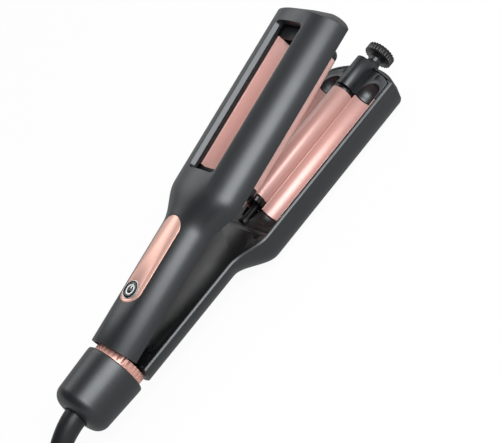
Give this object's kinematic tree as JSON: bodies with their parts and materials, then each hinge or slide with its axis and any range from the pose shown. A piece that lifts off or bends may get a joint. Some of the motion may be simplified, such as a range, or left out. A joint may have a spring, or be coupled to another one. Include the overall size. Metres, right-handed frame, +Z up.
{
  "type": "hair waver",
  "caption": "Corded hair waver with two hinged arms, curved hot plates and barrels, a barrel raised by a thumb dial, a power button and a swivel cord.",
  "frame": {"origin": "middle of the flat under the lower head, on the surface it lies on", "axes": "+X from the tail to the dial, +Y to the left of the arms seen from the tail, +Z up"},
  "size_m": [0.499, 0.0606, 0.0841],
  "materials": {
    "shell": "satin charcoal",
    "tip": "satin charcoal",
    "lining": "gloss black",
    "frame": "matt black",
    "plate": "rose-gold ceramic coat",
    "heater": "plain",
    "end_cap": "black",
    "steel": "plain",
    "dial": "satin black",
    "rose_print": "rose gold",
    "rose_ring": "rose gold, ribbed",
    "rose_trim": "metallised rose gold",
    "cord": "charcoal",
    "tie": "black",
    "contact": "plain",
    "plug": "charcoal",
    "blade": "nickel plated",
    "fuse": "ceramic white",
    "board": "green",
    "lamp": "clear",
    "bezel": "silver",
    "button": "black",
    "symbol": "white"
  },
  "bodies": {
    "lower_arm": {"lower_shell": "shell", "lower_liner": "lining", "lower_chassis": "frame", "groove_left": "plate", "groove_right": "plate", "groove_heaters": "heater", "rear_block": "frame", "tip_block": "tip", "tip_screws": "steel", "liner_screws": "steel", "guide_pins": "steel", "dial_bush": "tip", "tail_frame": "frame", "hinge_pin": "steel", "opening_spring": "steel", "tail_cap": "shell", "swivel_socket": "frame"},
    "upper_arm": {"upper_shell": "shell", "upper_liner": "lining", "upper_chassis": "frame", "barrel_left": "plate", "barrel_right": "plate", "barrel_caps_front": "end_cap", "barrel_caps_rear": "end_cap", "barrel_heaters": "heater", "thermal_fuse": "fuse", "hinge_arm": "frame", "circuit_board": "board", "tact_switch": "steel", "status_led": "lamp", "control_trim": "rose_trim", "button_bezel": "bezel", "upper_screws": "steel"},
    "power_button": {"power_button": "button", "power_symbol": "symbol"},
    "depth_dial": {"cam_shaft": "steel", "depth_dial": "dial", "dial_arrows": "rose_print"},
    "middle_barrel": {"middle_barrel": "plate", "middle_barrel_caps": "end_cap", "middle_barrel_core": "frame", "middle_heater": "heater"},
    "lock_ring": {"lock_ring": "rose_ring"},
    "cord": {"swivel_core": "cord", "contact_rings": "contact", "strain_relief": "cord", "cord_lead": "cord", "cord_hank": "cord", "cord_tie": "tie", "plug_body": "plug", "plug_blades": "blade"}
  },
  "joints": [
    {"name": "arm_hinge", "type": "hinge", "parent": "lower_arm", "child": "upper_arm", "pos_m": [-0.16175, 0, 0.0248], "axis": [0, 1, 0], "range_deg": [0, 10.4], "stiffness_Nm_per_rad": 1, "springref_deg": -20.05, "deforming": ["opening_spring"]},
    {"name": "button_press", "type": "slide", "parent": "upper_arm", "child": "power_button", "axis": [0.1805, 0, -0.9836], "range_m": [0, 0.0006], "stiffness_N_per_m": 2000, "springref_m": -0.0005},
    {"name": "dial_turn", "type": "hinge", "parent": "lower_arm", "child": "depth_dial", "pos_m": [0.0758, 0, 0.0202], "axis": [-1, 0, 0], "range_deg": [0, 270]},
    {"name": "barrel_lift", "type": "slide", "parent": "lower_arm", "child": "middle_barrel", "axis": [0, 0, 1], "range_m": [0, 0.003]},
    {"name": "ring_turn", "type": "hinge", "parent": "lower_arm", "child": "lock_ring", "pos_m": [-0.15655, 0, 0.0248], "axis": [1, 0, 0], "range_deg": [0, 45]},
    {"name": "cord_swivel", "type": "hinge", "parent": "lower_arm", "child": "cord", "pos_m": [-0.19195, 0, 0.0248], "axis": [1, 0, 0], "continuous": true}
  ],
  "couplings": [
    {"joint": "dial_turn", "follows": "barrel_lift", "rad_per_m": 1570.8}
  ]
}
